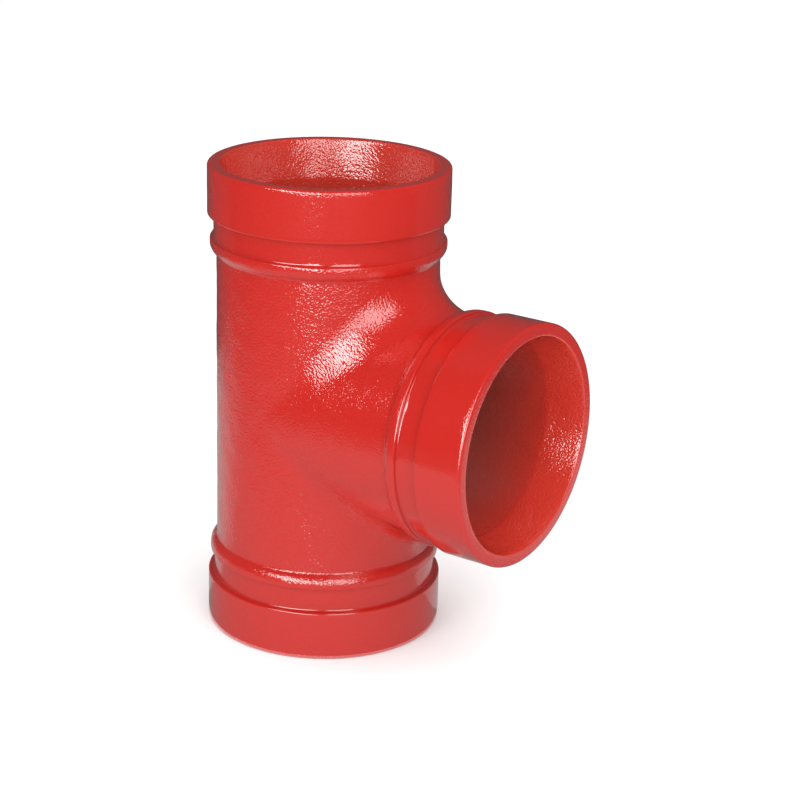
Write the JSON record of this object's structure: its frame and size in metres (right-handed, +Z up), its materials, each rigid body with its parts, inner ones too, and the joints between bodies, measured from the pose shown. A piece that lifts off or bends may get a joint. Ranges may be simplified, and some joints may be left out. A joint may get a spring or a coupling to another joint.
{
  "type": "grooved pipe tee",
  "caption": "Cast grooved-end pipe tee: a straight run with an equal branch at right angles, each end with a gasket shoulder, a key groove and a rounded collar.",
  "frame": {"origin": "centre of the lower end face of the run, on the run's axis", "axes": "+Z up along the run, +X out along the branch, the plane Y = 0 holds both axes"},
  "size_m": [0.114, 0.076, 0.152],
  "materials": {
    "red_paint": "gloss red paint over the skin of a ductile iron casting"
  },
  "bodies": {
    "root": {"tee_body": "red_paint"}
  },
  "joints": []
}
